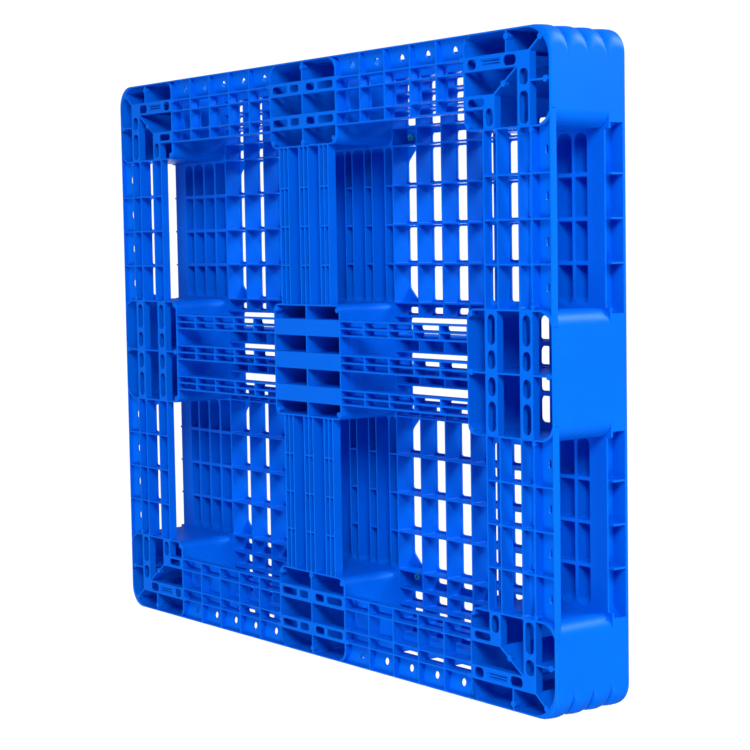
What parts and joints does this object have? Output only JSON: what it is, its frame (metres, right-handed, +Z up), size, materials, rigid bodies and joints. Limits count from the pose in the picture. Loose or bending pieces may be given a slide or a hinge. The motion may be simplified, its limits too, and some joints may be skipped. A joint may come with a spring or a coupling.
{
  "type": "plastic pallet",
  "caption": "Blue plastic pallet with a slotted, ribbed deck on nine hollow feet joined by open bottom rails; forks enter from all four sides.",
  "frame": {"origin": "on the floor, under the centre of the pallet", "axes": "+X along the long side, +Y along the short side, +Z up through the deck"},
  "size_m": [1.2, 1, 0.15],
  "materials": {
    "deck_plastic": "semi-gloss moulded, fine grain",
    "foot_plastic": "semi-gloss moulded, fine grain",
    "rail_plastic": "semi-gloss moulded, fine grain",
    "beam_plastic": "semi-gloss moulded, fine grain",
    "plug_rubber": "matt"
  },
  "bodies": {
    "root": {"corner_foot_front_left": "foot_plastic", "corner_foot_front_right": "foot_plastic", "corner_foot_rear_left": "foot_plastic", "corner_foot_rear_right": "foot_plastic", "cross_beam_front_centre": "beam_plastic", "cross_beam_front_high": "beam_plastic", "cross_beam_front_low": "beam_plastic", "cross_beam_rear_centre": "beam_plastic", "cross_beam_rear_high": "beam_plastic", "cross_beam_rear_low": "beam_plastic", "front_centre_foot": "foot_plastic", "front_rail_left": "rail_plastic", "front_rail_right": "rail_plastic", "grip_plug_front_left": "plug_rubber", "grip_plug_front_right": "plug_rubber", "grip_plug_rear_left": "plug_rubber", "grip_plug_rear_right": "plug_rubber", "left_centre_foot": "foot_plastic", "left_rail_front": "rail_plastic", "left_rail_rear": "rail_plastic", "long_beam_left_centre": "beam_plastic", "long_beam_left_high": "beam_plastic", "long_beam_left_low": "beam_plastic", "long_beam_right_centre": "beam_plastic", "long_beam_right_high": "beam_plastic", "long_beam_right_low": "beam_plastic", "middle_foot": "foot_plastic", "rear_centre_foot": "foot_plastic", "rear_rail_left": "rail_plastic", "rear_rail_right": "rail_plastic", "right_centre_foot": "foot_plastic", "right_rail_front": "rail_plastic", "right_rail_rear": "rail_plastic", "top_deck": "deck_plastic"}
  },
  "joints": []
}
